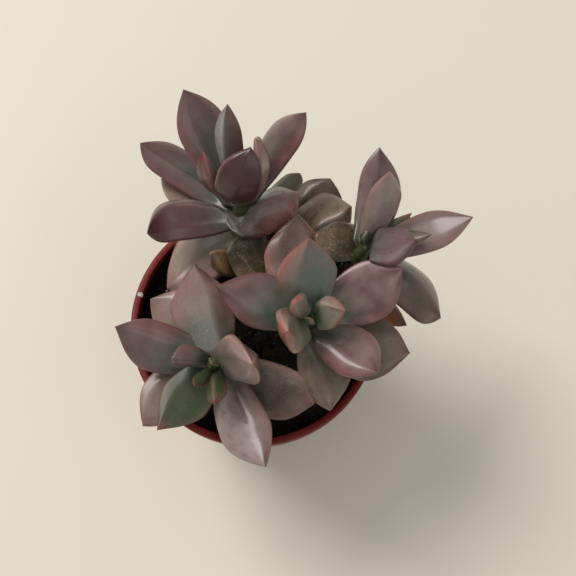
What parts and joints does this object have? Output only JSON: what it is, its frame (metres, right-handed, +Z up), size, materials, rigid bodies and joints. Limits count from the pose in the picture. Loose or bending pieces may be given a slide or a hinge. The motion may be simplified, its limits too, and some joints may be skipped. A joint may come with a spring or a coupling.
{
  "type": "potted graptosedum",
  "caption": "Fleshy-leaved rosette succulent with leaning stems, in a round tapered plastic nursery pot filled with dark soil.",
  "frame": {"origin": "middle of the pot's underside, on the plane it stands on", "axes": "+Z up along the pot, -Y towards the side that the picture was taken from"},
  "size_m": [0.1203, 0.1207, 0.1425],
  "materials": {
    "terracotta_plastic": "satin moulded plastic",
    "dark_soil": "rough, crumbly",
    "green_stem": "satin",
    "mauve_leaf": "waxy satin with a pale bloom",
    "green_leaf": "waxy satin with a pale bloom",
    "bronze_leaf": "waxy satin with a pale bloom",
    "amber_leaf": "dull, drying"
  },
  "bodies": {
    "root": {"back_left_leaf_brown": "bronze_leaf", "back_left_leaf_bud": "amber_leaf", "back_left_leaf_folded": "mauve_leaf", "back_left_leaf_front": "mauve_leaf", "back_left_leaf_heart": "green_leaf", "back_left_leaf_left": "mauve_leaf", "back_left_leaf_low_left": "bronze_leaf", "back_left_leaf_low_right": "bronze_leaf", "back_left_leaf_rear": "green_leaf", "back_left_leaf_red_tip": "mauve_leaf", "back_left_leaf_right": "mauve_leaf", "back_left_leaf_shy": "mauve_leaf", "back_left_leaf_tall": "mauve_leaf", "back_left_leaf_tucked": "bronze_leaf", "back_left_leaf_wide": "mauve_leaf", "back_left_stem": "green_stem", "front_left_leaf_bottom": "mauve_leaf", "front_left_leaf_green_tip": "green_leaf", "front_left_leaf_heart": "green_leaf", "front_left_leaf_inner_left": "mauve_leaf", "front_left_leaf_inner_right": "mauve_leaf", "front_left_leaf_left": "mauve_leaf", "front_left_leaf_lower_left": "green_leaf", "front_left_leaf_outer": "mauve_leaf", "front_left_leaf_rear": "mauve_leaf", "front_left_leaf_right": "mauve_leaf", "front_left_leaf_tiny": "green_leaf", "front_left_leaf_upper": "mauve_leaf", "front_left_stem": "green_stem", "middle_leaf_behind": "mauve_leaf", "middle_leaf_foot": "mauve_leaf", "middle_leaf_heart": "green_leaf", "middle_leaf_inner_left": "green_leaf", "middle_leaf_inner_right": "green_leaf", "middle_leaf_left": "mauve_leaf", "middle_leaf_lower": "mauve_leaf", "middle_leaf_outer": "mauve_leaf", "middle_leaf_right": "mauve_leaf", "middle_leaf_small": "green_leaf", "middle_leaf_upper": "mauve_leaf", "middle_stem": "green_stem", "old_leaf_blunt": "bronze_leaf", "old_leaf_curled": "bronze_leaf", "old_stem": "green_stem", "pot": "terracotta_plastic", "right_leaf_dry": "amber_leaf", "right_leaf_green": "green_leaf", "right_leaf_heart": "green_leaf", "right_leaf_inner": "mauve_leaf", "right_leaf_lower": "bronze_leaf", "right_leaf_pointed": "mauve_leaf", "right_leaf_small": "green_leaf", "right_leaf_speckled": "mauve_leaf", "right_leaf_stub": "amber_leaf", "right_leaf_upper": "mauve_leaf", "right_stem": "green_stem", "soil": "dark_soil"}
  },
  "joints": []
}
